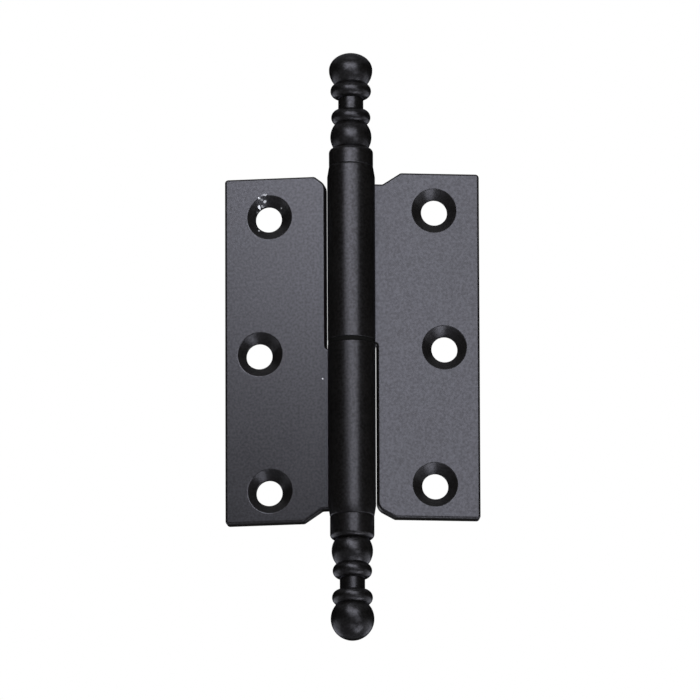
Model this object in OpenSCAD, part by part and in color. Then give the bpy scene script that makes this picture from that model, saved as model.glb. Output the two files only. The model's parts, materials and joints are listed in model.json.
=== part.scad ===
// Lift-off butt hinge with turned ball finials, in millimetres.
// The pin stands along Z. The frame leaf reaches to -X and carries the lower knuckle and the pin.
// The door leaf reaches to +X and carries the upper knuckle, which drops over the pin.
// The screw heads sit on the -Y side. The origin is on the frame leaf's mounting face,
// on the axis of its middle screw hole.

/* [Leaves] */
// Height of each leaf
leaf_h = 70; // [60:0.5:90]
// Thickness of the sheet that the leaves are stamped from
sheet_t = 2.5; // [2:0.1:3]
// Distance from the pin's axis to a leaf's outer edge
leaf_reach = 25.65; // [24.5:0.05:40]
// Distance from the pin's axis to the edge beside the other leaf's knuckle
notch_reach = 5.65; // [5.6:0.05:6.5]
// Radius of the outer corners
corner_r = 0.7; // [0.5:0.1:2]
// Opening angle between the two screw faces, where 180 is flat
opening = 193.9; // [150:0.1:200]

/* [Corner at the other leaf's knuckle] */
// Width of the slanting cut on the door leaf
door_cut_w = 3.6; // [2:0.1:5]
// Height of the slanting cut on the door leaf
door_cut_h = 1.9; // [1.5:0.1:4]
// Width of the slanting cut on the frame leaf
frame_cut_w = 2.2; // [2:0.1:5]
// Height of the slanting cut on the frame leaf
frame_cut_h = 1.7; // [1.5:0.1:4]
// Radius that blends the slanting cut into the notch's edge
cut_blend_r = 2.2; // [0.5:0.1:2.4]
// Radius between the slanting cut and the leaf's end
cut_end_r = 0.8; // [0.5:0.1:1.5]
// Radius in the notch's inner corner
notch_corner_r = 0.6; // [0.3:0.1:1]

/* [Neck beside the leaf's own knuckle] */
// Depth that the neck is set in from the leaf's end
neck_drop = 2.25; // [1:0.05:4]
// Distance from the pin's axis to the foot of the neck's slope
neck_foot = 6.5; // [5.8:0.1:8]
// Distance from the pin's axis to the top of the neck's slope
neck_top = 10.15; // [9.5:0.05:12]
// Radius in the neck's inner corner and at the top of its slope
neck_r = 0.8; // [0.5:0.1:1.5]

/* [Knuckles and pin] */
// Diameter of the pin
pin_d = 4.5; // [4:0.1:5]
// Height of the door leaf's knuckle above that leaf's end
door_knuckle_past = 0.55; // [-0.5:0.05:2]
// Depth of the frame leaf's knuckle below that leaf's end, less than zero where it stops short
frame_knuckle_past = -0.05; // [-0.5:0.05:2]
// Distance from a leaf's middle height to the inner end of its knuckle
knuckle_setback = 0.1; // [0:0.05:1]
// Rounding of the knuckles' end edges
knuckle_edge_r = 0.5; // [0.2:0.05:0.8]
// Opening of the seam where the rolled sheet meets its own leaf
seam_gap = 0.12; // [0.05:0.01:0.3]
// Rounding of the rolled sheet's free corner
lip_r = 2.6; // [1:0.1:3.5]
// Gap between the pin's top and the upper finial's spigot
pin_head_gap = 3.45; // [2:0.05:12]
// Length of the taper at the pin's top
pin_lead_l = 1.2; // [0.5:0.1:2]
// Diameter of the pin at the end of its taper
pin_lead_d = 3.3; // [2.5:0.1:3.9]
// Running clearance of the door leaf's knuckle around the pin
pin_clearance = 0.05; // [0.03:0.01:0.1]

/* [Thrust washer] */
// Thickness of the washer between the knuckles
washer_t = 0.85; // [0.5:0.05:1.5]
// Outer diameter of the washer
washer_d = 8.8; // [6.5:0.1:9]
// Clearance of the washer around the pin
washer_clearance = 0.15; // [0.1:0.05:0.4]

/* [Screw holes] */
// Diameter of a screw hole
hole_d = 5.2; // [4:0.1:6]
// Diameter of the countersink at the leaf's face
countersink_d = 9; // [7:0.1:9.5]
// Full angle of the countersink
countersink_angle = 90; // [82:1:100]
// Distance from the end of a leaf to its nearest hole, before the row is lowered
hole_end_margin = 7.1; // [6.5:0.1:12]
// Distance from a leaf's outer edge to its middle hole
middle_hole_margin = 6.9; // [6:0.05:9]
// Extra distance of the middle hole from the pin's axis
middle_hole_offset = 1.95; // [0:0.05:3]
// Depth of the frame leaf's hole row below the leaf's middle height
frame_row_drop = 0.8; // [0:0.05:1.5]
// Depth of the door leaf's hole row below the leaf's middle height
door_row_drop = 0.4; // [0:0.05:1.5]

/* [Finials] */
// Length of the collar on the upper finial
door_collar_l = 3.7; // [2:0.05:6]
// Length of the collar on the lower finial
frame_collar_l = 4.6; // [2:0.05:6]
// Radius of the collar
collar_r = 4.39; // [4.1:0.01:4.6]
// Radius of the collar's rounded shoulder
shoulder_r = 0.95; // [0.4:0.05:1.2]
// Radius of the ball on the collar
low_ball_r = 4.1; // [3.9:0.05:4.4]
// Radius of the rounded ring above that ball
low_ring_r = 3.9; // [3.6:0.05:4.3]
// Radius of the rounded ring below the end ball
high_ring_r = 4.04; // [3.6:0.01:4.3]
// Radius of the short shaft between the rings
finial_shaft_r = 2.5; // [2:0.1:3]
// Distance between the two rings' middles
ring_pitch = 5.4; // [4.5:0.1:7]
// Radius of the rings' rounded rim
ring_rim_r = 1.55; // [1.2:0.05:1.8]
// Height of the collar ball's widest place above the collar
low_ball_rise = 2.37; // [2:0.01:3]
// Distance from the collar ball's widest place to the middle of the next ring
low_ball_to_ring = 4.03; // [3.6:0.01:4.6]
// Distance from the end ball's widest place to the middle of the ring below it
ring_to_end_ball = 4.3; // [4:0.05:5]
// Radius of the ball at the end
end_ball_r = 4.32; // [4:0.01:4.8]
// Height from the end ball's widest place to the tip of the upper finial
door_tip_h = 3.42; // [3:0.01:4.4]
// Height from the end ball's widest place to the tip of the lower finial
frame_tip_h = 4.32; // [3:0.01:4.4]
// Length of the spigot pressed into the knuckle
spigot_l = 7; // [5:0.5:8]

/* [Hidden] */

$fn = 64;
overcut = 1;
arc_steps = 8;
dome_steps = 16;

pin_r = pin_d / 2;
barrel_r = pin_r + sheet_t;
door_bore_r = pin_r + pin_clearance;
half_h = leaf_h / 2;
hole_r = hole_d / 2;
countersink_depth = (countersink_d - hole_d) / 2 / tan(countersink_angle / 2);
hole_pitch = half_h - hole_end_margin;
middle_hole_reach = leaf_reach - middle_hole_margin;
outer_hole_reach = middle_hole_reach - middle_hole_offset;
door_knuckle_l = half_h - knuckle_setback + door_knuckle_past;
frame_knuckle_l = half_h - knuckle_setback + frame_knuckle_past;

// Heights measured from the frame leaf's middle height
frame_knuckle_top = -knuckle_setback;
washer_top = frame_knuckle_top + washer_t;
door_middle = washer_top - knuckle_setback;
pin_top = washer_top + door_knuckle_l - spigot_l - pin_head_gap;
pin_foot = frame_knuckle_top - frame_knuckle_l + spigot_l;

// Heights of the finial's features above the collar's end
low_ring_h = low_ball_rise + low_ball_to_ring;
high_ring_h = low_ring_h + ring_pitch;
end_ball_h = high_ring_h + ring_to_end_ball;

black = [0.09, 0.09, 0.10];
dark_steel = [0.30, 0.30, 0.32];
nylon = [0.05, 0.05, 0.05];

// Direction from one point to another, of length 1
function toward(from, to) = (to - from) / norm(to - from);

// Points of the arc of radius r that rounds the corner b between a and c
function corner_arc(a, b, c, r) =
    let (
        u = toward(b, a),
        w = toward(b, c),
        half = acos(u * w) / 2,
        centre = b + toward([0, 0], u + w) * r / sin(half),
        first = b + u * r / tan(half) - centre,
        turn = cross(u, w) > 0 ? -(180 - 2 * half) : 180 - 2 * half
    )
    [for (i = [0 : arc_steps])
        let (a1 = turn * i / arc_steps)
        centre + [first.x * cos(a1) - first.y * sin(a1), first.x * sin(a1) + first.y * cos(a1)]];

// Outline whose corners, given as [x, y, radius], are rounded
function rounded(corners) =
    let (n = len(corners), p = [for (c = corners) [c.x, c.y]])
    [for (i = [0 : n - 1])
        each corners[i].z > 0
            ? corner_arc(p[(i + n - 1) % n], p[i], p[(i + 1) % n], corners[i].z)
            : [p[i]]];

// Corners of a plate whose knuckle is on the upper half, as [x, y, radius], from the notch round to the neck
function plate_corners(cut_w, cut_h) = [
    [0, knuckle_setback, 0],
    [notch_reach, knuckle_setback, notch_corner_r],
    [notch_reach, -half_h + cut_h, cut_blend_r],
    [notch_reach + cut_w, -half_h, cut_end_r],
    [leaf_reach, -half_h, corner_r],
    [leaf_reach, half_h, corner_r],
    [neck_top, half_h, neck_r],
    [neck_foot, half_h - neck_drop, neck_r],
    [0, half_h - neck_drop, 0]
];

// Puts a leaf, drawn with its sheet in the XY plane, upright behind the pin with its mounting face to +Y
module stand_behind_pin() {
    translate([0, barrel_r, 0])
        rotate([90, 0, 0])
            children();
}

// Flat plate of a leaf whose knuckle is on the upper half, with its neck reaching in under the knuckle
module plate(cut_w, cut_h) {
    stand_behind_pin()
        linear_extrude(sheet_t)
            polygon(rounded(plate_corners(cut_w, cut_h)));
}

// Section of the sheet that curls around the pin and comes back against its own leaf
module curl(bore_r) {
    lip_angle = asin((pin_r - seam_gap) / barrel_r);
    difference() {
        union() {
            circle(barrel_r);
            translate([0, pin_r])
                square([barrel_r, sheet_t]);
        }
        circle(bore_r);
        // The wedge between the square-cut lip and the flat sheet
        polygon([
            [0, pin_r],
            [0, 0],
            2 * barrel_r * [cos(lip_angle), sin(lip_angle)],
            [2 * barrel_r, pin_r]
        ]);
    }
}

// Ring that is cut away to round an outer edge of the curl, with its flat side at z = 0 and the knuckle below
module edge_ring() {
    rotate([0, 0, 90])
        rotate_extrude(angle = 270)
            difference() {
                translate([barrel_r - knuckle_edge_r, -knuckle_edge_r])
                    square(knuckle_edge_r + overcut);
                translate([barrel_r - knuckle_edge_r, -knuckle_edge_r])
                    circle(knuckle_edge_r);
            }
}

// What is cut away to round the free corner of the rolled sheet at its outer end, seen from the leaf's side
module lip_corner() {
    rotate([90, 0, 90])
        linear_extrude(2 * barrel_r)
            difference() {
                translate([pin_r - lip_r, -lip_r])
                    square([lip_r, lip_r + overcut]);
                translate([pin_r - lip_r, -lip_r])
                    circle(lip_r);
            }
}

module knuckle(length, bore_r) {
    translate([0, 0, knuckle_setback])
        difference() {
            linear_extrude(length)
                curl(bore_r);
            translate([0, 0, length])
                edge_ring();
            mirror([0, 0, 1])
                edge_ring();
            translate([0, 0, length])
                lip_corner();
        }
}

module screw_hole() {
    rotate([90, 0, 0])
        translate([0, 0, -barrel_r - overcut])
            cylinder(h = sheet_t + 2 * overcut, r = hole_r);
    // The cone is carried on past the face, so that its rim is cut clean
    rim_r = countersink_d / 2 + overcut * tan(countersink_angle / 2);
    translate([0, pin_r - overcut, 0])
        rotate([-90, 0, 0])
            cylinder(h = countersink_depth + overcut, r1 = rim_r, r2 = hole_r);
}

// Stamped and rolled leaf, seen with its plate to +X and its knuckle on the upper half
module leaf(length, bore_r, cut_w, cut_h, row_z) {
    difference() {
        union() {
            plate(cut_w, cut_h);
            knuckle(length, bore_r);
        }
        for (row = [-1 : 1])
            translate([row == 0 ? middle_hole_reach : outer_hole_reach, 0, row_z + row * hole_pitch])
                screw_hole();
        // Pin's bore through the neck's inner corner
        translate([0, 0, -overcut])
            cylinder(h = leaf_h, r = bore_r);
    }
}

// Turned finial, standing with the collar's end face at z = 0 and its spigot below
module finial(collar_l, spigot_r, tip_h) {
    translate([0, 0, -spigot_l])
        cylinder(h = spigot_l + collar_l, r = spigot_r);
    cylinder(h = collar_l - shoulder_r, r = collar_r);
    translate([0, 0, collar_l - shoulder_r]) {
        cylinder(h = shoulder_r, r = collar_r - shoulder_r);
        rotate_extrude()
            intersection() {
                translate([collar_r - shoulder_r, 0])
                    circle(shoulder_r);
                square([collar_r, shoulder_r]);
            }
    }
    translate([0, 0, collar_l]) {
        translate([0, 0, low_ball_rise])
            turned_ball(low_ball_r, low_ball_rise, low_ball_to_ring);
        turned_ring(low_ring_r, low_ring_h);
        translate([0, 0, low_ring_h])
            cylinder(h = ring_pitch, r = finial_shaft_r);
        turned_ring(high_ring_r, high_ring_h);
        translate([0, 0, end_ball_h])
            end_ball(tip_h);
    }
}

// Ball that stops flat at the given depths below and above its widest place
module turned_ball(r, below, above) {
    intersection() {
        sphere(r);
        translate([0, 0, -below])
            cylinder(h = below + above, r = r);
    }
}

// Ring with a round rim, such as a form tool leaves
module turned_ring(rim_r, height) {
    translate([0, 0, height])
        rotate_extrude() {
            translate([rim_r - ring_rim_r, 0])
                circle(ring_rim_r);
            translate([0, -ring_rim_r])
                square([rim_r - ring_rim_r, 2 * ring_rim_r]);
        }
}

// End ball: a sphere up to its widest place and a dome of height tip_h above it
module end_ball(tip_h) {
    dome = [for (i = [0 : dome_steps])
        let (a = 90 * i / dome_steps)
        [end_ball_r * cos(a), tip_h * sin(a)]];
    rotate_extrude()
        polygon(concat([[0, 0]], dome));
    turned_ball(end_ball_r, ring_to_end_ball, 0);
}

// Moves what is drawn around the pin and the frame leaf's middle height to the part's origin
module in_place() {
    translate([middle_hole_reach, -barrel_r, frame_row_drop])
        children();
}

// Turns the door leaf's side to the opening angle and lifts it onto the washer
module on_door() {
    translate([0, 0, door_middle])
        rotate([0, 0, opening - 180])
            children();
}

module frame_leaf() {
    color(black)
        in_place()
            rotate([0, 180, 0])
                leaf(frame_knuckle_l, pin_r, frame_cut_w, frame_cut_h, frame_row_drop);
}

module hinge_pin() {
    color(dark_steel)
        in_place() {
            translate([0, 0, pin_foot])
                cylinder(h = pin_top - pin_lead_l - pin_foot, r = pin_r);
            translate([0, 0, pin_top - pin_lead_l])
                cylinder(h = pin_lead_l, d1 = pin_d, d2 = pin_lead_d);
        }
}

module lower_finial() {
    color(black)
        in_place()
            translate([0, 0, frame_knuckle_top - frame_knuckle_l])
                rotate([180, 0, 0])
                    finial(frame_collar_l, pin_r, frame_tip_h);
}

module thrust_washer() {
    color(nylon)
        in_place()
            translate([0, 0, frame_knuckle_top])
                difference() {
                    cylinder(h = washer_t, d = washer_d);
                    translate([0, 0, -overcut])
                        cylinder(h = washer_t + 2 * overcut, r = pin_r + washer_clearance);
                }
}

module door_leaf() {
    color(black)
        in_place()
            on_door()
                leaf(door_knuckle_l, door_bore_r, door_cut_w, door_cut_h, -door_row_drop);
}

module upper_finial() {
    color(black)
        in_place()
            on_door()
                translate([0, 0, knuckle_setback + door_knuckle_l])
                    finial(door_collar_l, door_bore_r, door_tip_h);
}

frame_leaf();
hinge_pin();
lower_finial();
thrust_washer();
door_leaf();
upper_finial();
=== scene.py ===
"""Looks of a black coated lift-off hinge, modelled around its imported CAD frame.

Every part is modelled on the bench in millimetres, around the hinge pin, and is then put in
its place in metres. On the bench a leaf has its plate towards +X and its knuckle on the upper
half, and a turned part stands with its axis along Z.
"""

from __future__ import annotations

import json
import logging
import math
from collections.abc import Callable, Sequence
from dataclasses import dataclass
from enum import Enum
from typing import Any

import bmesh
import bpy
from mathutils import Matrix, Quaternion, Vector

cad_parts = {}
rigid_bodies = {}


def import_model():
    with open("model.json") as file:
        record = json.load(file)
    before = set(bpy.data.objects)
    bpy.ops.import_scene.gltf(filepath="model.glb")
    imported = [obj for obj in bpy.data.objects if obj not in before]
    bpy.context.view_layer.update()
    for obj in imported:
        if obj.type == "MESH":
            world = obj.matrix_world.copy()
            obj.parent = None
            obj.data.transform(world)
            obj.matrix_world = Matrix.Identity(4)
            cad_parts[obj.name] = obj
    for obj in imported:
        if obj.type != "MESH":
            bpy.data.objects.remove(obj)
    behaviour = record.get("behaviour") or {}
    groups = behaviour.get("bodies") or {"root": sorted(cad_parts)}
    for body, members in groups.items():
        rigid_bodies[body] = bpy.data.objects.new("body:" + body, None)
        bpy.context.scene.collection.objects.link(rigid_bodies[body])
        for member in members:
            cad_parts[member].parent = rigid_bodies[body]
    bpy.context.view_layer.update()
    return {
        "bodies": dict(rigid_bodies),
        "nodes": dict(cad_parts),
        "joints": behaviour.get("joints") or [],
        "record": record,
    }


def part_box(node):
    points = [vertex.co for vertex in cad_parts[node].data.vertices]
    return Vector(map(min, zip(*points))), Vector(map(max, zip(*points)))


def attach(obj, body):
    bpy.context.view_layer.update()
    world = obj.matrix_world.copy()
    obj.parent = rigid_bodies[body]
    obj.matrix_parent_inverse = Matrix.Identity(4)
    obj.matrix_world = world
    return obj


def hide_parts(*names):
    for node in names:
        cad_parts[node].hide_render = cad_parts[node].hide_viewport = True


LOG = logging.getLogger("hinge")
MM = 0.001
FULL_TURN = math.tau
ARC_STEP = math.radians(6)
NEAR = 0.002
ROUND_THE_AXIS = (60, 60, 1)


class Side(Enum):
    """Which leaf of the hinge a part belongs to."""

    FRAME = "frame_side"
    DOOR = "door_side"
    WASHER = "washer"


class Bench:
    """Modelling steps that all the parts share."""

    @staticmethod
    def pick_up(piece: bpy.types.Object) -> None:
        """Makes a piece the active one and the only one that is selected."""
        bpy.ops.object.select_all(action="DESELECT")
        piece.select_set(True)
        bpy.context.view_layer.objects.active = piece

    @staticmethod
    def trace(name: str, points: Sequence[Vector], closed: bool) -> bpy.types.Object:
        """Draws a chain of edges by extruding one vertex from point to point.

        Args:
            name: Name of the new object.
            points: Points of the chain, in millimetres.
            closed: Whether the chain goes back to its first point.

        Returns:
            The object, left in edit mode with all of the chain selected.
        """
        bpy.ops.object.select_all(action="DESELECT")
        bpy.ops.mesh.primitive_plane_add(size=1, location=(0, 0, 0))
        piece = bpy.context.active_object
        piece.name = name
        bpy.ops.object.mode_set(mode="EDIT")
        bpy.ops.mesh.select_mode(type="VERT")
        bpy.ops.mesh.select_all(action="SELECT")
        bpy.ops.mesh.merge(type="CENTER")
        bpy.ops.transform.translate(value=points[0])
        path = list(points) + ([points[0]] if closed else [])
        for start, end in zip(path, path[1:]):
            bpy.ops.mesh.extrude_vertices_move(TRANSFORM_OT_translate={"value": end - start})
        bpy.ops.mesh.select_all(action="SELECT")
        bpy.ops.mesh.remove_doubles(threshold=NEAR)
        return piece

    @staticmethod
    def close_shell() -> None:
        """Merges what meets and turns all faces outwards, in edit mode."""
        bpy.ops.mesh.select_all(action="SELECT")
        bpy.ops.mesh.remove_doubles(threshold=NEAR)
        bpy.ops.mesh.normals_make_consistent(inside=False)
        bpy.ops.object.mode_set(mode="OBJECT")

    @classmethod
    def prism(cls, name: str, points: Sequence[Vector], along: Vector) -> bpy.types.Object:
        """Extrudes a closed outline into a solid.

        Args:
            name: Name of the new object.
            points: Corners of the outline, in order.
            along: Direction and length of the extrusion.

        Returns:
            The closed solid, in object mode.
        """
        piece = cls.trace(name, points, closed=True)
        bpy.ops.mesh.edge_face_add()
        bpy.ops.mesh.extrude_region_move(TRANSFORM_OT_translate={"value": along})
        cls.close_shell()
        return piece

    @classmethod
    def turn(
        cls, name: str, profile: Sequence[Vector], steps: int, closed: bool = False
    ) -> bpy.types.Object:
        """Spins a profile once around the Z axis, as on a lathe.

        Args:
            name: Name of the new object.
            profile: Points in the XZ plane, which start and end on the axis unless closed.
            steps: Number of steps in the full turn.
            closed: Whether the profile is a closed loop, as for a washer.

        Returns:
            The closed solid, in object mode.
        """
        piece = cls.trace(name, profile, closed)
        bpy.ops.mesh.spin(steps=steps, angle=FULL_TURN, center=(0, 0, 0), axis=(0, 0, 1))
        cls.close_shell()
        return piece

    @classmethod
    def select_faces(
        cls, piece: bpy.types.Object, wanted: Callable[[bmesh.types.BMFace], bool]
    ) -> None:
        """Goes into edit mode with only the wanted faces selected."""
        cls.pick_up(piece)
        bpy.ops.object.mode_set(mode="EDIT")
        bpy.ops.mesh.select_mode(type="FACE")
        bpy.ops.mesh.select_all(action="DESELECT")
        mesh = bmesh.from_edit_mesh(piece.data)
        for face in mesh.faces:
            face.select_set(wanted(face))
        bmesh.update_edit_mesh(piece.data)

    @classmethod
    def modify(cls, piece: bpy.types.Object, kind: str, **settings: Any) -> None:
        """Adds a modifier with the given settings and applies it.

        Args:
            piece: Object to change.
            kind: Type of the modifier.
            **settings: Values of the modifier's properties.
        """
        cls.pick_up(piece)
        modifier = piece.modifiers.new(kind.title(), kind)
        for key, value in settings.items():
            setattr(modifier, key, value)
        bpy.ops.object.modifier_apply(modifier=modifier.name)

    @classmethod
    def cut(cls, piece: bpy.types.Object, cutter: bpy.types.Object) -> None:
        """Cuts one solid out of another and throws the cutter away."""
        cls.modify(piece, "BOOLEAN", operation="DIFFERENCE", object=cutter, solver="EXACT")
        bpy.data.objects.remove(cutter, do_unlink=True)

    @classmethod
    def carry(cls, piece: bpy.types.Object, place: Matrix) -> None:
        """Moves a piece by a matrix and applies it, so that its object stays at the origin."""
        cls.pick_up(piece)
        piece.matrix_world = place
        bpy.ops.object.transform_apply(location=True, rotation=True, scale=True)

    @classmethod
    def smooth(cls, piece: bpy.types.Object, crease: float) -> None:
        """Shades a piece smooth up to an angle, with flat faces kept truly flat.

        Args:
            piece: Object to shade.
            crease: Angle in degrees past which an edge stays sharp.
        """
        cls.pick_up(piece)
        bpy.ops.object.shade_smooth_by_angle(angle=math.radians(crease))
        cls.modify(piece, "WEIGHTED_NORMAL", mode="FACE_AREA", weight=100, keep_sharp=True)


def arc(centre: Vector, radius: float, start: float, end: float, rise: float = 0.0) -> list[Vector]:
    """Points of an arc in the XZ plane.

    Args:
        centre: Middle of the arc.
        radius: Its radius, which is its half width if rise is given.
        start: Angle at which it starts, in radians from +X.
        end: Angle at which it ends.
        rise: Half height, where the arc is a flattened one.

    Returns:
        The points, both ends included.
    """
    steps = max(2, math.ceil(abs(end - start) / ARC_STEP))
    angles = [start + (end - start) * i / steps for i in range(steps + 1)]
    up = rise or radius
    return [centre + Vector((radius * math.cos(a), 0, up * math.sin(a))) for a in angles]


def rounded(corners: Sequence[tuple[float, float, float]]) -> list[Vector]:
    """Points of an outline in the XZ plane whose corners are rounded.

    Args:
        corners: One (x, z, radius) for each corner, in order.

    Returns:
        The points, with an arc in the place of each corner that has a radius.
    """
    places = [Vector((x, 0, z)) for x, z, _ in corners]
    points: list[Vector] = []
    for i, (_, _, radius) in enumerate(corners):
        here = places[i]
        if not radius:
            points.append(here)
            continue
        back = (places[i - 1] - here).normalized()
        on = (places[(i + 1) % len(places)] - here).normalized()
        half = back.angle(on) / 2
        centre = here + (back + on).normalized() * radius / math.sin(half)
        first = here + back * radius / math.tan(half) - centre
        turned = -1 if back.x * on.z - back.z * on.x > 0 else 1
        start = math.atan2(first.z, first.x)
        points += arc(centre, radius, start, start + turned * (math.pi - 2 * half))
    return points


def meeting(low: Vector, low_r: float, high: Vector, high_r: float) -> Vector:
    """Outer point at which two circles of a turned profile meet.

    Args:
        low: Centre of the lower circle.
        low_r: Its radius.
        high: Centre of the upper circle.
        high_r: Its radius.

    Returns:
        The meeting point that is further from the turning axis.
    """
    across = high - low
    share = (across.length_squared + low_r**2 - high_r**2) / (2 * across.length)
    beside = math.sqrt(low_r**2 - share**2)
    unit = across.normalized()
    outward = Vector((unit.z, 0, -unit.x))
    return low + unit * share + outward * beside


def rod(radius: float, low: float, high: float) -> list[Vector]:
    """Profile of a plain round bar that stands from one height to another."""
    return [Vector((x, 0, z)) for x, z in ((0, low), (radius, low), (radius, high), (0, high))]


def angle_at(centre: Vector, point: Vector) -> float:
    """Angle in radians at which a point of the XZ plane lies from a centre."""
    return math.atan2(point.z - centre.z, point.x - centre.x)


@dataclass(frozen=True)
class Hinge:
    """Sizes that all the parts share, in millimetres, and where the CAD frame puts them."""

    pin_r: float
    sheet: float
    leaf_height: float
    axis: Vector
    door_middle: float
    door_turn: float
    pin_foot: float
    pin_top: float
    washer_low: float
    washer_height: float
    washer_r: float
    frame_knuckle_foot: float
    door_knuckle_head: float
    finial_foot: float
    finial_tip: float

    @property
    def barrel_r(self) -> float:
        """Outer radius of a knuckle."""
        return self.pin_r + self.sheet

    def place(self, lift: float = 0.0, turn: Matrix | None = None) -> Matrix:
        """Matrix that takes a part from the bench to its place on the hinge.

        Args:
            lift: Height of the part's own zero, in millimetres.
            turn: Rotation of the part on the bench.

        Returns:
            The matrix, with the step from millimetres to metres in it.
        """
        up = Matrix.Translation(self.axis + Vector((0, 0, lift * MM)))
        return up @ Matrix.Scale(MM, 4) @ (turn or Matrix.Identity(4))

    @classmethod
    def from_frame(cls, frame: dict[str, Any]) -> Hinge:
        """Reads the shared sizes off the CAD frame.


        Returns:
            The hinge's sizes.
        """
        swing = next(joint for joint in frame["joints"] if joint["name"] == "leaf_swing")
        axis = Vector(swing["pos_m"])
        pin_low, pin_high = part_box("hinge_pin")
        leaf_low, leaf_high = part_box("frame_leaf")
        washer_low, washer_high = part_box("thrust_washer")
        spigot_low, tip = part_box("upper_finial")
        foot, spigot_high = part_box("lower_finial")
        back = next(m for m in frame["record"]["mounts"] if m["name"] == "door_back")["axis"]
        pin_r = (pin_high.x - pin_low.x) / 2 / MM
        sheet = (leaf_high.y - axis.y) / MM - pin_r

        def height(z: float) -> float:
            """Height above the frame leaf's middle, in millimetres."""
            return round((z - axis.z) / MM, 3)

        return cls(
            pin_r=pin_r,
            sheet=sheet,
            leaf_height=(leaf_high.z - leaf_low.z) / MM,
            axis=axis,
            door_middle=height(washer_high.z) - Leaf.setback,
            door_turn=math.atan2(-back[0], back[1]),
            pin_foot=height(pin_low.z),
            pin_top=height(pin_high.z),
            washer_low=height(washer_low.z),
            washer_height=(washer_high.z - washer_low.z) / MM,
            washer_r=(washer_high.x - washer_low.x) / 2 / MM,
            frame_knuckle_foot=height(spigot_high.z) - Finial.spigot_l,
            door_knuckle_head=height(spigot_low.z) + Finial.spigot_l,
            finial_foot=height(foot.z),
            finial_tip=height(tip.z),
        )


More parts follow.
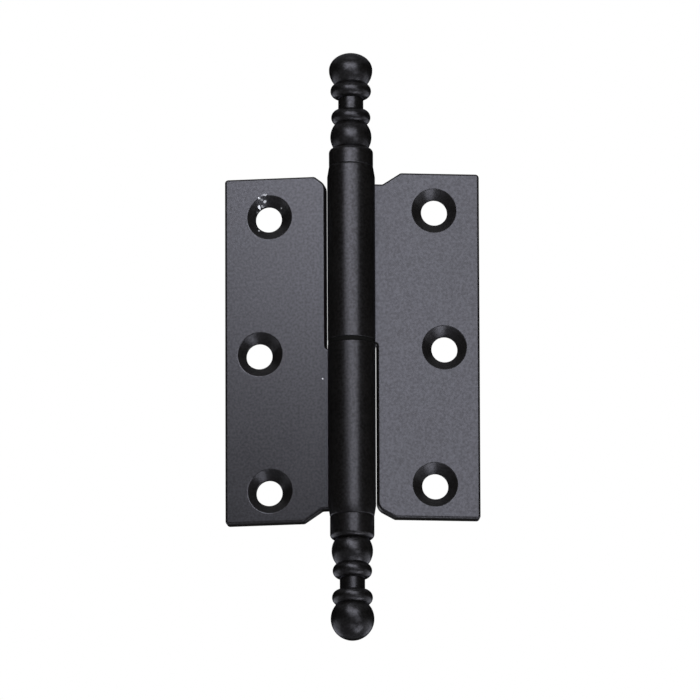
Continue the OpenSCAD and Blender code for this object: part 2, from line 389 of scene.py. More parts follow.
@dataclass
class Leaf:
    """Leaf that is stamped from one sheet and rolled around the pin into its own knuckle.

    Attributes:
        cut_width: Width of the slanted cut between the notch and the leaf's end.
        cut_height: Height of that cut.
        row: Height of the middle screw hole on the bench.
        hole_shift: How far the through holes are off their countersinks, away from the pin.
    """

    name: str
    node: str
    side: Side
    knuckle_end: float
    cut_width: float
    cut_height: float
    row: float
    bore_r: float
    reach: float = 25.8
    end_swell: float = 0.15
    setback: float = 0.1
    notch_reach: float = 5.56
    notch_corner: float = 0.6
    cut_blend: float = 2.2
    cut_end: float = 0.8
    corner: float = 0.7
    neck_drop: float = 2.25
    neck_foot: float = 6.5
    neck_top: float = 10.15
    neck_r: float = 0.8
    strip_corner: float = 0.3
    face_edge: float = 0.5
    back_edge: float = 0.14
    rolled_edge: float = 0.36
    outer_edge: float = 0.2
    taper: float = 0.36
    taper_l: float = 2.2
    bore_edge: float = 0.2
    lip_edge: float = 0.1
    seam_gap: float = 0.12
    lip_r: float = 2.6
    lip_clearance: float = 0.05
    curl_steps: int = 64
    edge_segments: int = 5

    hole_r: float = 2.6
    hole_shift: float = 0.0
    sink_r: float = 4.5
    sink_flare: float = 0.35
    hole_pitch: float = 27.9
    outer_hole: float = 16.8
    middle_hole: float = 18.75
    over: float = 1.0
    hole_steps: int = 96

    def outline(self, hinge: Hinge) -> list[Vector]:
        """Outline of the blank on its mounting face, up to the line where it starts to curl."""
        half = hinge.leaf_height / 2 + self.end_swell
        neck = half - self.neck_drop - self.end_swell
        strip = hinge.barrel_r
        points = rounded([
            (0, self.setback, 0),
            (self.notch_reach, self.setback, self.notch_corner),
            (self.notch_reach, -half + self.cut_height, self.cut_blend),
            (self.notch_reach + self.cut_width, -half, self.cut_end),
            (self.reach, -half, self.corner),
            (self.reach, half, self.corner),
            (self.neck_top, half, self.neck_r),
            (self.neck_foot, neck, self.neck_r),
            (strip, neck, 0),
            (strip, self.knuckle_end, self.strip_corner),
            (0, self.knuckle_end, 0),
        ])
        return [point + Vector((0, hinge.barrel_r, 0)) for point in points]

    def edge_width(self, start: Vector, end: Vector, hinge: Hinge) -> float:
        """Width of the rounding of one edge of the blank.

        Args:
            start: One end of the edge.
            end: Its other end.
            hinge: Shared sizes.

        Returns:
            The width in millimetres, which is 0 where the edge stays sharp.
        """
        if abs(start.y - end.y) > NEAR or max(start.x, end.x) < NEAR:
            return 0.0
        on_back = start.y > hinge.pin_r + hinge.sheet / 2
        in_strip = max(start.x, end.x) < hinge.barrel_r + NEAR
        if in_strip and not on_back:
            return self.bore_edge
        if in_strip:
            at_outer_end = min(start.z, end.z) > self.setback + self.over
            return self.outer_edge if at_outer_end else self.rolled_edge
        return self.back_edge if on_back else self.face_edge

    def round_edges(self, piece: bpy.types.Object, hinge: Hinge) -> None:
        """Rounds the blank's edges, each by its own width."""
        mesh = piece.data
        weights = mesh.attributes.new("bevel_weight_edge", "FLOAT", "EDGE")
        for edge in mesh.edges:
            start, end = (mesh.vertices[i].co for i in edge.vertices)
            weights.data[edge.index].value = self.edge_width(start, end, hinge)
        Bench.modify(
            piece,
            "BEVEL",
            limit_method="WEIGHT",
            width=1.0,
            segments=self.edge_segments,
            use_clamp_overlap=False,
        )

    def roll(self, piece: bpy.types.Object, hinge: Hinge) -> None:
        """Rolls the sheet's end around the pin until it meets its own leaf."""
        lip = math.asin((hinge.pin_r - self.seam_gap) / hinge.barrel_r)
        Bench.select_faces(piece, lambda face: all(abs(v.co.x) < NEAR for v in face.verts))
        bpy.ops.mesh.spin(
            steps=self.curl_steps,
            angle=1.5 * math.pi + lip,
            center=(0, 0, 0),
            axis=(0, 0, -1),
        )
        bpy.ops.mesh.region_to_loop()
        bpy.ops.mesh.bevel(offset=self.lip_edge, segments=2, affect="EDGES")
        Bench.close_shell()

    def draw_in(self, piece: bpy.types.Object, hinge: Hinge) -> None:
        """Narrows the knuckle a little towards its outer end, as the rolling die leaves it."""
        start = self.knuckle_end - self.taper_l
        Bench.select_faces(piece, lambda face: True)
        bpy.ops.mesh.bisect(plane_co=(0, 0, start), plane_no=(0, 0, 1))
        mesh = bmesh.from_edit_mesh(piece.data)
        for vertex in mesh.verts:
            rolled = vertex.co.x < NEAR or vertex.co.y < hinge.pin_r - self.seam_gap / 2
            if vertex.co.z < start + NEAR or not rolled:
                continue
            radial = Vector((vertex.co.x, vertex.co.y, 0))
            share = (vertex.co.z - start) / self.taper_l
            share *= max(0.0, radial.length - hinge.pin_r) / hinge.sheet
            vertex.co -= radial.normalized() * self.taper * share
        bmesh.update_edit_mesh(piece.data)
        bpy.ops.object.mode_set(mode="OBJECT")

    def trim_lip(self, piece: bpy.types.Object, hinge: Hinge) -> None:
        """Rounds the free corner of the rolled sheet at the knuckle's outer end."""
        centre = Vector((hinge.pin_r - self.lip_r, 0, self.knuckle_end - self.lip_r))
        top = self.knuckle_end + self.over
        edge = hinge.pin_r - self.lip_clearance
        reach = math.acos((edge - centre.x) / self.lip_r)
        points = arc(centre, self.lip_r, reach, math.pi / 2)
        points += [Vector((centre.x, 0, top)), Vector((edge, 0, top))]
        turned = [Vector((0, point.x, point.z)) for point in points]
        cutter = Bench.prism("lip_cutter", turned, Vector((2 * hinge.barrel_r, 0, 0)))
        Bench.cut(piece, cutter)

    def drill(self, piece: bpy.types.Object, hinge: Hinge) -> None:
        """Cuts three screw holes and their countersinks, whose rims are drawn in a little."""
        face = hinge.sheet
        flare = Vector((self.sink_r + self.sink_flare * (1 - math.sqrt(0.5)), 0, face))
        flare.z -= self.sink_flare
        rim = arc(flare, self.sink_flare, 0.75 * math.pi, 0.5 * math.pi)
        root = self.hole_r - self.hole_shift
        sink = [
            Vector((0, 0, face - self.sink_r + root)),
            Vector((root, 0, face - self.sink_r + root)),
            *rim,
            Vector((rim[-1].x, 0, face + self.over)),
            Vector((0, 0, face + self.over)),
        ]
        hole = rod(self.hole_r, -self.over, face)
        upright = Matrix.Rotation(math.radians(90), 4, "X")
        for step in (-1, 0, 1):
            across = self.outer_hole if step else self.middle_hole
            for profile, shift in ((sink, 0.0), (hole, self.hole_shift)):
                cutter = Bench.turn("hole_cutter", profile, self.hole_steps)
                spot = Vector((across + shift, hinge.barrel_r, self.row + step * self.hole_pitch))
                Bench.carry(cutter, Matrix.Translation(spot) @ upright)
                Bench.cut(piece, cutter)

    def ream(self, piece: bpy.types.Object, hinge: Hinge) -> None:
        """Opens the bore to its running clearance where the knuckle turns on the pin."""
        if self.bore_r - hinge.pin_r < NEAR:
            return
        profile = rod(self.bore_r, self.setback - self.over, self.knuckle_end + self.over)
        Bench.cut(piece, Bench.turn("reamer", profile, self.hole_steps))

    def build(self, hinge: Hinge) -> bpy.types.Object:
        """Makes the leaf on the bench and puts it in its place.

        Args:
            hinge: Shared sizes.

        Returns:
            The finished leaf, not yet dressed.
        """
        piece = Bench.prism(self.name, self.outline(hinge), Vector((0, -hinge.sheet, 0)))
        self.round_edges(piece, hinge)
        self.roll(piece, hinge)
        self.draw_in(piece, hinge)
        self.trim_lip(piece, hinge)
        self.drill(piece, hinge)
        self.ream(piece, hinge)
        if self.side is Side.FRAME:
            place = hinge.place(turn=Matrix.Rotation(math.pi, 4, "Y"))
        else:
            place = hinge.place(hinge.door_middle, Matrix.Rotation(hinge.door_turn, 4, "Z"))
        Bench.carry(piece, place)
        Bench.smooth(piece, crease=32)
        return piece


@dataclass
class Finial:
    """Turned finial whose spigot is pressed into the end of a knuckle."""

    name: str
    node: str
    side: Side
    collar_l: float
    spigot_r: float
    tip: float
    spigot_l: float = 7.0
    spigot_lead: float = 0.4
    collar_r: float = 4.39
    collar_edge: float = 0.12
    shoulder: float = 0.95
    low_ball_r: float = 4.1
    low_ball_rise: float = 2.37
    ball_to_ring: float = 4.03
    low_ring_r: float = 3.9
    high_ring_r: float = 4.04
    ring_rim: float = 1.55
    ring_pitch: float = 5.4
    shaft_r: float = 2.5
    ring_to_end: float = 4.3
    end_ball_r: float = 4.32
    steps: int = 96

    def profile(self) -> list[Vector]:
        """Turned profile, from the foot of the spigot to the tip."""
        low_ball = Vector((0, 0, self.collar_l + self.low_ball_rise))
        ring_z = low_ball.z + self.ball_to_ring
        low_ring = Vector((self.low_ring_r - self.ring_rim, 0, ring_z))
        high_ring = Vector((self.high_ring_r - self.ring_rim, 0, ring_z + self.ring_pitch))
        end_ball = Vector((0, 0, high_ring.z + self.ring_to_end))
        low_groove = meeting(low_ball, self.low_ball_r, low_ring, self.ring_rim)
        high_groove = meeting(high_ring, self.ring_rim, end_ball, self.end_ball_r)
        leave_low = math.acos((self.shaft_r - low_ring.x) / self.ring_rim)
        reach_high = -math.acos((self.shaft_r - high_ring.x) / self.ring_rim)
        inner = Vector((self.collar_r - self.shoulder, 0, self.collar_l - self.shoulder))
        return [
            Vector((0, 0, -self.spigot_l)),
            Vector((self.spigot_r - self.spigot_lead, 0, -self.spigot_l)),
            Vector((self.spigot_r, 0, -self.spigot_l + self.spigot_lead)),
            Vector((self.spigot_r, 0, 0)),
            Vector((self.collar_r - self.collar_edge, 0, 0)),
            Vector((self.collar_r, 0, self.collar_edge)),
            *arc(inner, self.shoulder, 0, math.pi / 2),
            *arc(
                low_ball,
                self.low_ball_r,
                -math.asin(self.low_ball_rise / self.low_ball_r),
                angle_at(low_ball, low_groove),
            ),
            *arc(low_ring, self.ring_rim, angle_at(low_ring, low_groove), leave_low)[1:],
            *arc(high_ring, self.ring_rim, reach_high, angle_at(high_ring, high_groove)),
            *arc(end_ball, self.end_ball_r, angle_at(end_ball, high_groove), 0)[1:],
            *arc(end_ball, self.end_ball_r, 0, math.pi / 2, self.tip - end_ball.z)[1:],
        ]

    def build(self, hinge: Hinge) -> bpy.types.Object:
        """Turns the finial and puts it in its place.

        Args:
            hinge: Shared sizes.

        Returns:
            The finished finial, not yet dressed.
        """
        piece = Bench.turn(self.name, self.profile(), self.steps)
        if self.side is Side.FRAME:
            place = hinge.place(hinge.frame_knuckle_foot, Matrix.Rotation(math.pi, 4, "X"))
        else:
            turn = Matrix.Rotation(hinge.door_turn, 4, "Z")
            place = hinge.place(hinge.door_knuckle_head, turn)
        Bench.carry(piece, place)
        Bench.smooth(piece, crease=28)
        return piece


@dataclass
class Pin:
    """Turned pin, pressed into the lower knuckle and tapered at its top."""

    name: str = "turned_pin"
    node: str = "hinge_pin"
    side: Side = Side.FRAME
    lead_l: float = 1.2
    lead_r: float = 1.65
    foot_lead: float = 0.3
    tip_edge: float = 0.2
    steps: int = 72

    def build(self, hinge: Hinge) -> bpy.types.Object:
        """Turns the pin and puts it in its place."""
        top = hinge.pin_top
        inner = Vector((self.lead_r - self.tip_edge, 0, top - self.tip_edge))
        profile = [
            Vector((0, 0, hinge.pin_foot)),
            Vector((hinge.pin_r - self.foot_lead, 0, hinge.pin_foot)),
            Vector((hinge.pin_r, 0, hinge.pin_foot + self.foot_lead)),
            Vector((hinge.pin_r, 0, top - self.lead_l)),
            *arc(inner, self.tip_edge, 0, math.pi / 2),
            Vector((0, 0, top)),
        ]
        piece = Bench.turn(self.name, profile, self.steps)
        Bench.carry(piece, hinge.place())
        Bench.smooth(piece, crease=28)
        return piece


@dataclass
class Washer:
    """Thin thrust washer with rounded rims that carries the door leaf's knuckle."""

    name: str = "bearing_washer"
    node: str = "thrust_washer"
    side: Side = Side.WASHER
    clearance: float = 0.15
    rim_swell: float = 0.31
    edge: float = 0.16
    steps: int = 96

    def build(self, hinge: Hinge) -> bpy.types.Object:
        """Turns the washer and puts it in its place."""
        inner = hinge.pin_r + self.clearance
        outer = hinge.washer_r + self.rim_swell
        low = hinge.washer_low
        high = low + hinge.washer_height
        profile = rounded([
            (inner, low, self.edge),
            (outer, low, self.edge),
            (outer, high, self.edge),
            (inner, high, self.edge),
        ])
        piece = Bench.turn(self.name, profile, self.steps, closed=True)
        Bench.carry(piece, hinge.place())
        Bench.smooth(piece, crease=40)
        return piece


@dataclass
class Signal:
    """Number that varies over a surface, and takes part in Python expressions."""

    graph: Graph
    socket: bpy.types.NodeSocket

    def _math(self, operation: str, first: Signal | float, second: Signal | float) -> Signal:
        """Adds one Math node."""
        return self.graph.node("ShaderNodeMath", {"operation": operation}, {0: first, 1: second})

    def __add__(self, other: Signal | float) -> Signal:
        """Sum of two values."""
        return self._math("ADD", self, other)

    __radd__ = __add__

    def __sub__(self, other: Signal | float) -> Signal:
        """Difference of two values."""
        return self._math("SUBTRACT", self, other)

    def __rsub__(self, other: float) -> Signal:
        """A number less this value."""
        return self._math("SUBTRACT", other, self)

    def __mul__(self, other: Signal | float) -> Signal:
        """Product of two values."""
        return self._math("MULTIPLY", self, other)

    __rmul__ = __mul__

    def __truediv__(self, other: Signal | float) -> Signal:
        """Quotient of two values."""
        return self._math("DIVIDE", self, other)

    def __pow__(self, other: float) -> Signal:
        """This value raised to a power."""
        return self._math("POWER", self, other)

    def at_least(self, other: Signal | float) -> Signal:
        """The larger of two values."""
        return self._math("MAXIMUM", self, other)

    def between(self, low: float, high: float) -> Signal:
        """Soft step from 0 at low to 1 at high, which may be the smaller of the two."""
        settings = {"interpolation_type": "SMOOTHSTEP", "clamp": True}
        values = {"Value": self, "From Min": min(low, high), "From Max": max(low, high)}
        if high < low:
            values |= {"To Min": 1.0, "To Max": 0.0}
        return self.graph.node("ShaderNodeMapRange", settings, values)


class Graph:
    """Node tree of one material or of the world."""

    def __init__(self, owner: bpy.types.Material | bpy.types.World) -> None:
        """Empties the owner's node tree.

        Args:
            owner: Material or world whose nodes are written.
        """
        owner.use_nodes = True
        self.tree = owner.node_tree
        self.tree.nodes.clear()

    def node(
        self,
        kind: str,
        settings: dict[str, Any] | None = None,
        inputs: dict[str | int, Any] | None = None,
        output: str | int = 0,
    ) -> Signal:
        """Adds any node.

        Args:
            kind: The node's type.
            settings: Properties of the node, which are set first.
            inputs: Values or signals for its sockets, by name or number.
            output: The output that is wanted.

        Returns:
            That output as a signal.
        """
        node = self.tree.nodes.new(kind)
        for key, value in (settings or {}).items():
            setattr(node, key, value)
        for key, value in (inputs or {}).items():
            if isinstance(value, Signal):
                self.tree.links.new(value.socket, node.inputs[key])
            else:
                node.inputs[key].default_value = value
        return Signal(self, node.outputs[output] if node.outputs else None)

    def place(self) -> Signal:
        """Object coordinates, which on every piece are the hinge's own, in metres."""
        return self.node("ShaderNodeTexCoord", output="Object")

    def along(self, axis: str) -> Signal:
        """One of the object's coordinates, X, Y or Z, in millimetres."""
        return self.node("ShaderNodeSeparateXYZ", {}, {"Vector": self.place()}, axis) / MM

    def noise(self, size: float, detail: float = 2.0, stretch: tuple = (1, 1, 1)) -> Signal:
        """Noise over the object's own coordinates.

        Args:
            size: Size of its coarsest features, in millimetres.
            detail: Number of finer layers.
            stretch: How much longer the features are along each axis.

        Returns:
            The noise, from 0 to 1 around 0.5.
        """
        scale = tuple(1 / (size * MM * along) for along in stretch)
        spot = self.node("ShaderNodeMapping", {}, {"Vector": self.place(), "Scale": scale})
        return self.node(
            "ShaderNodeTexNoise", {}, {"Vector": spot, "Scale": 1.0, "Detail": detail}, "Fac"
        )

    def mix(self, share: Signal, first: Any, second: Any) -> Signal:
        """Colour between two colours."""
        node = self.tree.nodes.new("ShaderNodeMix")
        node.data_type = "RGBA"
        for index, value in ((0, share), (6, first), (7, second)):
            if isinstance(value, Signal):
                self.tree.links.new(value.socket, node.inputs[index])
            else:
                node.inputs[index].default_value = value if index == 0 else (*value, 1.0)
        return Signal(self, node.outputs[2])

    def bump(self, height: Signal, depth: float, under: Signal | None = None) -> Signal:
        """Normal that a height gives.

        Args:
            height: Height from 0 to 1.
            depth: What a height of 1 stands for, in millimetres.
            under: Normal that this one is laid over.

        Returns:
            The bumped normal.
        """
        inputs: dict[str | int, Any] = {"Strength": 1.0, "Distance": depth * MM, "Height": height}
        if under:
            inputs["Normal"] = under
        return self.node("ShaderNodeBump", {}, inputs)

    def matt(self, grey: float, roughness: float = 0.0) -> Signal:
        """Diffuse shader of one grey."""
        inputs = {"Color": (grey, grey, grey, 1.0), "Roughness": roughness}
        return self.node("ShaderNodeBsdfDiffuse", {}, inputs)

    def principled(self, inputs: dict[str | int, Any]) -> None:
        """Ends the tree with a Principled shader that has the given inputs."""
        self.finish(self.node("ShaderNodeBsdfPrincipled", {}, inputs))

    def finish(self, shader: Signal, kind: str = "ShaderNodeOutputMaterial") -> None:
        """Ends the tree with its output node."""
        self.node(kind, {}, {"Surface": shader})


@dataclass(frozen=True)
class Chip:
    """Spot at which the coat is knocked off, seen from the screws' side, in millimetres."""

    across: float
    up: float
    width: float
    height: float
    strength: float = 1.0


@dataclass(frozen=True)
class BlackCoat:
    """Satin black coat with a fine grain, on stamped and on turned steel.

    Attributes:
        speck_share: How much of the surface is dark flecks that don't shine.
        highlight_dimming: Painted shade that dims the highlights on a barrel, or on a turned part
            all over.
        axis: Where the barrel's axis is, in metres, or None on a part that has no plate.
        barrel: Distances from that axis, in millimetres, between which the painted dimming of the
            highlights ends.
        chip_depth: How far in front of the mounting face the chips end, in millimetres.
    """

    name: str
    dark: tuple[float, float, float] = (0.0044, 0.0040, 0.0038)
    light: tuple[float, float, float] = (0.0086, 0.0080, 0.0077)
    bare: tuple[float, float, float] = (0.85, 0.88, 0.95)
    sheen: tuple[float, float, float] = (0.83, 0.84, 1.0)
    roughness: float = 0.32
    grain: float = 0.42
    grain_depth: float = 0.009
    grain_sheen: float = 0.10
    cloud: float = 8.8
    cloud_sheen: float = 0.06
    ripple: float = 11.0
    ripple_depth: float = 0.006
    turned: bool = False
    groove: float = 0.22
    groove_depth: float = 0.0010
    chips: tuple[Chip, ...] = ()
    ragged: float = 0.45
    tear: float = 2.2
    chip_rim: tuple[float, float] = (1.0, 0.75)
    chip_depth: float = -0.7
    chip_fade: float = 0.3
    chip_step: float = 0.02
    chip_sheen: float = 0.04
    chip_metallic: float = 0.25
    speck: float = 0.5
    speck_rise: tuple[float, float] = (0.3, 0.7)
    speck_share: float = 0.34
    axis: Vector | None = None
    barrel: tuple[float, float] = (4.85, 5.7)
    # Painted shade: dims the coat's highlights on the barrel, and all over a turned part.
    highlight_dimming: float = 0.3

    def chip_mask(self, graph: Graph) -> Signal | None:
        """Where the coat is knocked off, from 0 to 1."""
        if not self.chips:
            return None
        mask = None
        across = graph.along("X")
        up = graph.along("Z")
        tear = (graph.noise(self.ragged, 3.0) - 0.5) * self.tear
        for chip in self.chips:
            aside = (across - chip.across) / chip.width
            above = (up - chip.up) / chip.height
            distance = (aside * aside + above * above) ** 0.5 + tear
            spread = distance.between(*self.chip_rim) * chip.strength
            mask = spread if mask is None else mask.at_least(spread)
        in_front = graph.along("Y").between(self.chip_depth, self.chip_depth - self.chip_fade)
        return mask * in_front

    def highlight_dimming_share(self, graph: Graph) -> Signal | float:
        """Painted shade that dims the coat's highlights on a leaf's barrel, or all over a part with
        no plate.
        """
        if self.axis is None:
            return self.highlight_dimming
        inward = graph.along("Y") - self.axis.y / MM
        across = graph.along("X") - self.axis.x / MM
        distance = (across * across + inward * inward) ** 0.5
        return (1 - distance.between(*self.barrel)) * self.highlight_dimming

    def material(self) -> bpy.types.Material:
        """Builds the material.

        Returns:
            The coat as a Blender material.
        """
        made = bpy.data.materials.new(self.name)
        graph = Graph(made)
        grain = graph.noise(self.grain, 3.0)
        cloud = graph.noise(self.cloud, 3.0)
        ripple = graph.noise(self.ripple, 1.0)
        colour = graph.mix(cloud, self.dark, self.light)
        rough = self.roughness + (cloud - 0.5) * self.cloud_sheen
        rough = rough + (grain - 0.5) * self.grain_sheen
        normal = graph.bump(ripple, self.ripple_depth)
        normal = graph.bump(grain, self.grain_depth, normal)
        if self.turned:
            rings = graph.noise(self.groove, 1.0, ROUND_THE_AXIS)
            normal = graph.bump(rings, self.groove_depth, normal)
        mask = self.chip_mask(graph)
        specks = graph.noise(self.speck, 4.0).between(*self.speck_rise) * self.speck_share
        # Metallic flecks, plus metallic that dims the highlights on a barrel or a turned part:
        # painted shade on those highlights.
        metallic = specks + self.highlight_dimming_share(graph)
        if mask:
            colour = graph.mix(mask, colour, self.bare)
            rough = rough + mask * self.chip_sheen
            metallic = metallic * (1 - mask) + mask * self.chip_metallic
            normal = graph.bump(1 - mask, self.chip_step, normal)
        graph.principled({
            "Base Color": colour,
            "Roughness": rough,
            "Metallic": metallic,
            "Normal": normal,
            "Specular Tint": (*self.sheen, 1.0),
        })
        return made


@dataclass(frozen=True)
class TurnedSteel:
    """Bright turned steel with tool rings and a film of oil."""

    name: str = "turned_steel"
    colour: tuple[float, float, float] = (0.52, 0.51, 0.50)
    stain: tuple[float, float, float] = (0.30, 0.27, 0.24)
    roughness: float = 0.24
    groove: float = 0.16
    groove_depth: float = 0.0012
    groove_sheen: float = 0.12
    stain_size: float = 4.0
    stain_rise: tuple[float, float] = (0.45, 0.8)
    stain_share: float = 0.6
    stain_sheen: float = 0.10

    def material(self) -> bpy.types.Material:
        """Builds the material."""
        made = bpy.data.materials.new(self.name)
        graph = Graph(made)
        rings = graph.noise(self.groove, 2.0, ROUND_THE_AXIS)
        stain = graph.noise(self.stain_size, 3.0)
        stained = stain.between(*self.stain_rise) * self.stain_share
        rough = self.roughness + (rings - 0.5) * self.groove_sheen
        graph.principled({
            "Base Color": graph.mix(stained, self.colour, self.stain),
            "Metallic": 1.0,
            "Roughness": rough + (stain - 0.5) * self.stain_sheen,
            "Normal": graph.bump(rings, self.groove_depth),
        })
        return made


@dataclass(frozen=True)
class ShadedBlackNylon:
    """Matt black moulded nylon, made darker and less reflective than nylon is: painted shade for
    the gap between the knuckles that the washer fills.
    """

    name: str = "black_nylon"
    # Far darker than black nylon, with a reflection near none: painted shade in the gap between the
    # knuckles.
    dark: tuple[float, float, float] = (0.002, 0.002, 0.002)
    light: tuple[float, float, float] = (0.004, 0.004, 0.004)
    cloud: float = 2.0
    grain: float = 0.12
    grain_depth: float = 0.002
    grain_sheen: float = 0.2
    roughness: float = 0.7
    shaded_specular: float = 0.05

    def material(self) -> bpy.types.Material:
        """Builds the material."""
        made = bpy.data.materials.new(self.name)
        graph = Graph(made)
        grain = graph.noise(self.grain, 2.0)
        cloud = graph.noise(self.cloud, 2.0)
        graph.principled({
            "Base Color": graph.mix(cloud, self.dark, self.light),
            "Specular IOR Level": self.shaded_specular,
            "Roughness": self.roughness + (grain - 0.5) * self.grain_sheen,
            "Normal": graph.bump(grain, self.grain_depth),
        })
        return made


@dataclass(frozen=True)
class Softbox:
    """Rectangular lamp that faces the hinge."""

    name: str
    azimuth: float
    elevation: float
    distance: float
    width: float
    height: float
    radiance: float

    def build(self, target: Vector) -> None:
        """Adds the lamp.

        Args:
            target: Point that it faces.
        """
        lamp = bpy.data.lights.new(self.name, "AREA")
        lamp.shape = "RECTANGLE"
        lamp.size = self.width
        lamp.size_y = self.height
        lamp.energy = self.radiance * math.pi * self.width * self.height
        stand = bpy.data.objects.new(self.name, lamp)
        bpy.context.scene.collection.objects.link(stand)
        away = direction(self.azimuth, self.elevation)
        stand.location = target + away * self.distance
        stand.rotation_mode = "QUATERNION"
        stand.rotation_quaternion = (-away).to_track_quat("-Z", "Y")
        stand.visible_camera = False


def direction(azimuth: float, elevation: float) -> Vector:
    """Direction from the hinge to a place round it.

    Args:
        azimuth: Angle in degrees from -Y towards +X.
        elevation: Angle in degrees above the horizon.

    Returns:
        The direction, of length 1.
    """
    a, e = math.radians(azimuth), math.radians(elevation)
    return Vector((math.sin(a) * math.cos(e), -math.cos(a) * math.cos(e), math.sin(e)))


@dataclass
class Studio:
    """White surroundings, a dark tent and a black flag that keep them out of the coat, and lamps.

    Attributes:
        ambient: Level of the surroundings as a light.
        dark_band: Heights, as shares of the tent's radius, up to which its low glow is full
            and at which it has ended, then at which its high glow starts and is full.
    """

    ambient: float = 0.25
    floor_depth: float = 3.1
    floor_reach: float = 3.4
    floor_grey: float = 0.85
    tent_r: float = 1.3
    tent_grey: float = 0.02
    low_glow: float = 0.3
    high_glow: float = 0.2
    dark_band: tuple[float, float, float, float] = (-0.22, -0.04, 0.5, 0.7)
    flag_azimuth: float = -172.5
    flag_elevation: float = -16.0
    flag_distance: float = 0.72
    flag_width: float = 0.62
    flag_height: float = 0.80
    flag_grey: float = 0.01
    softboxes: tuple[Softbox, ...] = (
        Softbox("key", 18, 20, 0.60, 0.41, 0.44, 5.4),
        Softbox("near_key", -10, 31, 0.20, 0.085, 0.13, 6.1),
        Softbox("kicker", 38, -16, 0.70, 0.34, 0.20, 2.6),
        Softbox("low_kicker", 12, -55, 0.50, 0.24, 0.14, 2.5),
        Softbox("side_kicker", 72, -61, 0.50, 0.20, 0.30, 5.0),
        Softbox("back_right", 128, -24, 0.80, 1.06, 0.45, 1.0),
        Softbox("back_left", -113, -24, 0.80, 1.06, 0.45, 1.0),
        Softbox("overhead", 0, 84, 0.80, 0.40, 0.30, 0.8),
    )

    def seen_share(self, graph: Graph) -> Signal:
        """1 where the background is looked at, directly or in a reflection."""
        rays = graph.node("ShaderNodeLightPath", output="Is Camera Ray")
        outputs = rays.socket.node.outputs
        shown = rays.at_least(Signal(graph, outputs["Is Glossy Ray"]))
        return shown.at_least(Signal(graph, outputs["Is Transmission Ray"]))

    def light_world(self) -> None:
        """Makes the world white to look at and dim as a light."""
        world = bpy.data.worlds.new("white_surroundings")
        bpy.context.scene.world = world
        graph = Graph(world)
        dim = (self.ambient,) * 3
        colour = graph.mix(self.seen_share(graph), dim, (1.0, 1.0, 1.0))
        glow = graph.node("ShaderNodeBackground", {}, {"Color": colour, "Strength": 1.0})
        graph.finish(glow, "ShaderNodeOutputWorld")

    def lay_floor(self) -> None:
        """Adds a pale floor far enough down that no view is taken from under it."""
        bpy.ops.object.select_all(action="DESELECT")
        bpy.ops.mesh.primitive_circle_add(
            vertices=96,
            radius=self.floor_reach,
            fill_type="NGON",
            location=(0, 0, -self.floor_depth),
        )
        floor = bpy.context.active_object
        floor.name = "floor"
        made = bpy.data.materials.new("pale_floor")
        graph = Graph(made)
        paint = graph.matt(self.floor_grey, roughness=0.5)
        glow = graph.node("ShaderNodeEmission", {}, {"Color": (1, 1, 1, 1), "Strength": 1.0})
        surface = graph.node(
            "ShaderNodeMixShader", {}, {0: self.seen_share(graph), 1: paint, 2: glow}
        )
        graph.finish(surface)
        floor.data.materials.append(made)

    def pitch_tent(self, target: Vector) -> None:
        """Adds the dark tent, which is lighter under and over the hinge and isn't on camera.

        Args:
            target: Middle of the tent.
        """
        bpy.ops.object.select_all(action="DESELECT")
        bpy.ops.mesh.primitive_uv_sphere_add(
            segments=48,
            ring_count=24,
            radius=self.tent_r,
            location=target,
        )
        tent = bpy.context.active_object
        tent.name = "tent"
        tent.visible_camera = False
        bpy.ops.object.transform_apply(location=True, rotation=False, scale=False)
        made = bpy.data.materials.new("dark_cloth")
        graph = Graph(made)
        height = (graph.along("Z") - target.z / MM) / (self.tent_r / MM)
        low_end, low_start, high_start, high_end = self.dark_band
        low = height.between(low_start, low_end) * self.low_glow
        high = height.between(high_start, high_end) * self.high_glow
        glow = graph.node("ShaderNodeEmission", {}, {"Strength": low + high})
        cloth = graph.matt(self.tent_grey)
        graph.finish(graph.node("ShaderNodeAddShader", {}, {0: cloth, 1: glow}))
        tent.data.materials.append(made)

    def hang_flag(self, target: Vector) -> None:
        """Hangs a black strip low behind the hinge, which keeps its lower edges black.

        Args:
            target: Point that it faces.
        """
        away = direction(self.flag_azimuth, self.flag_elevation)
        bpy.ops.object.select_all(action="DESELECT")
        bpy.ops.mesh.primitive_plane_add(size=1, location=(0, 0, 0))
        flag = bpy.context.active_object
        flag.name = "flag"
        size = Matrix.Diagonal((self.flag_width, self.flag_height, 1, 1))
        turn = (-away).to_track_quat("-Z", "Y").to_matrix().to_4x4()
        Bench.carry(flag, Matrix.Translation(target + away * self.flag_distance) @ turn @ size)
        flag.visible_camera = False
        made = bpy.data.materials.new("black_card")
        graph = Graph(made)
        graph.finish(graph.matt(self.flag_grey))
        flag.data.materials.append(made)

    def build(self, target: Vector) -> None:
        """Sets the studio up around a point."""
        self.light_world()
        self.lay_floor()
        self.pitch_tent(target)
        self.hang_flag(target)
        for softbox in self.softboxes:
            softbox.build(target)
        bpy.context.scene.view_settings.view_transform = "Standard"


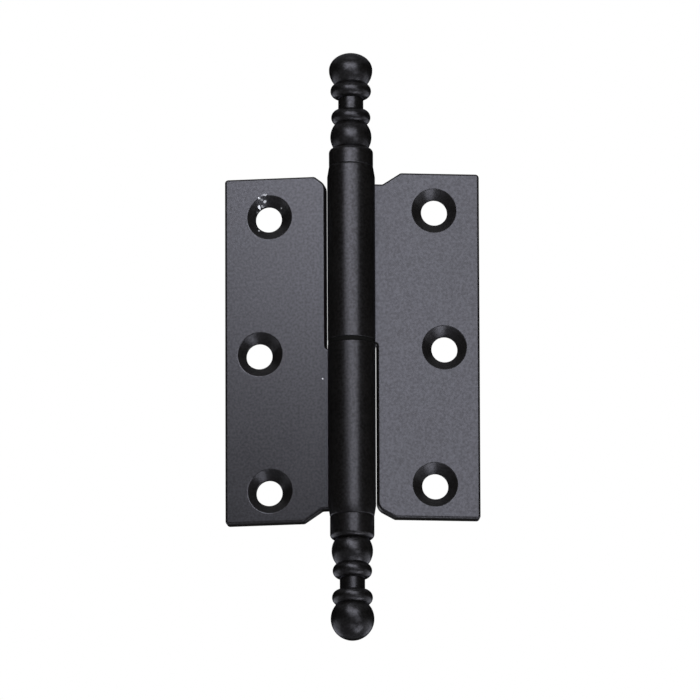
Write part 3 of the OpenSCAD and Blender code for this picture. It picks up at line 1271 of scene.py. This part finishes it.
@dataclass(frozen=True)
class Camera:
    """Camera that stands where the picture was taken from."""

    azimuth: float = 8.55
    elevation: float = -13.1
    roll: float = 0.2
    distance: float = 3.0
    frame_px: int = 700
    px_per_mm: float = 5.044
    aim_px: tuple[float, float] = (351.6, 344.4)
    sensor: float = 36.0
    near: float = 0.1
    far: float = 10.0

    def build(self, aim: Vector) -> None:
        """Adds the camera.

        Args:
            aim: Point that shows at aim_px.
        """
        lens = bpy.data.cameras.new("camera")
        lens.sensor_width = self.sensor
        frame = self.frame_px / self.px_per_mm * MM
        lens.lens = self.sensor * self.distance / frame
        lens.clip_start = self.near
        lens.clip_end = self.far
        camera = bpy.data.objects.new("camera", lens)
        bpy.context.scene.collection.objects.link(camera)
        away = direction(self.azimuth, self.elevation)
        facing = (-away).to_track_quat("-Z", "Y")
        facing = facing @ Quaternion((0, 0, 1), math.radians(-self.roll))
        middle = self.frame_px / 2
        aside = facing @ Vector((1, 0, 0)) * (self.aim_px[0] - middle)
        above = facing @ Vector((0, 1, 0)) * (middle - self.aim_px[1])
        camera.location = aim + away * self.distance - (aside + above) / self.px_per_mm * MM
        camera.rotation_mode = "QUATERNION"
        camera.rotation_quaternion = facing
        bpy.context.scene.camera = camera


def dress(
    piece: bpy.types.Object,
    part: Leaf | Finial | Pin | Washer,
    finish: bpy.types.Material,
) -> None:
    """Gives a piece its finish and ties it to the CAD frame.

    Args:
        piece: Finished piece.
        part: Part that it was built from.
        finish: Its material.
    """
    piece.data.materials.clear()
    piece.data.materials.append(finish)
    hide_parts(part.node)
    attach(piece, part.side.value)
    LOG.info("%s: %d faces, on %s", piece.name, len(piece.data.polygons), part.side.value)


def main() -> None:
    """Builds the hinge around its frame, and sets up the studio and the camera."""
    logging.basicConfig(level=logging.INFO, format="%(name)s: %(message)s")
    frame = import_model()
    hinge = Hinge.from_frame(frame)

    frame_end = -hinge.frame_knuckle_foot
    door_end = hinge.door_knuckle_head - hinge.door_middle
    frame_leaf = Leaf(
        "frame_leaf_rolled",
        "frame_leaf",
        Side.FRAME,
        knuckle_end=frame_end,
        cut_width=2.2,
        cut_height=1.7,
        row=0.8,
        bore_r=hinge.pin_r,
        hole_shift=0.45,
    )
    door_leaf = Leaf(
        "door_leaf_rolled",
        "door_leaf",
        Side.DOOR,
        knuckle_end=door_end,
        cut_width=3.6,
        cut_height=1.9,
        row=-0.4,
        bore_r=2.3,
        hole_shift=0.18,
        notch_reach=5.3,
        notch_corner=0.45,
    )
    lower = Finial(
        "lower_finial_turned",
        "lower_finial",
        Side.FRAME,
        collar_l=4.6,
        spigot_r=hinge.pin_r,
        tip=hinge.frame_knuckle_foot - hinge.finial_foot,
    )
    upper = Finial(
        "upper_finial_turned",
        "upper_finial",
        Side.DOOR,
        collar_l=3.7,
        spigot_r=2.3,
        tip=hinge.finial_tip - hinge.door_knuckle_head,
    )
    chips = (
        Chip(-0.12, 31.92, 0.27, 0.27, 0.50),
        Chip(0.95, 31.40, 0.38, 0.24, 0.58),
        Chip(0.38, 31.65, 0.26, 0.14, 0.22),
        Chip(1.10, 32.60, 0.60, 0.22, 0.20),
        Chip(-0.26, 30.33, 0.24, 0.44, 1.00),
        Chip(0.40, 30.55, 0.28, 0.24, 0.28),
        Chip(-0.70, 29.20, 0.16, 0.42, 0.14),
        Chip(4.16, 30.00, 0.17, 0.17, 0.35),
        Chip(-0.35, 25.52, 0.15, 0.15, 0.80),
        Chip(12.60, -5.40, 0.16, 0.16, 0.90),
    )
    stamped = BlackCoat("coat_stamped", axis=hinge.axis).material()
    chipped = BlackCoat("coat_chipped", axis=hinge.axis, chips=chips).material()
    turned = BlackCoat("coat_turned", turned=True, ripple_depth=0.0).material()
    dress(frame_leaf.build(hinge), frame_leaf, chipped)
    dress(door_leaf.build(hinge), door_leaf, stamped)
    dress(lower.build(hinge), lower, turned)
    dress(upper.build(hinge), upper, turned)
    pin = Pin()
    dress(pin.build(hinge), pin, TurnedSteel().material())
    washer = Washer()
    dress(washer.build(hinge), washer, ShadedBlackNylon().material())

    Studio().build(hinge.axis)
    Camera().build(hinge.axis)


if __name__ == "__main__":
    main()
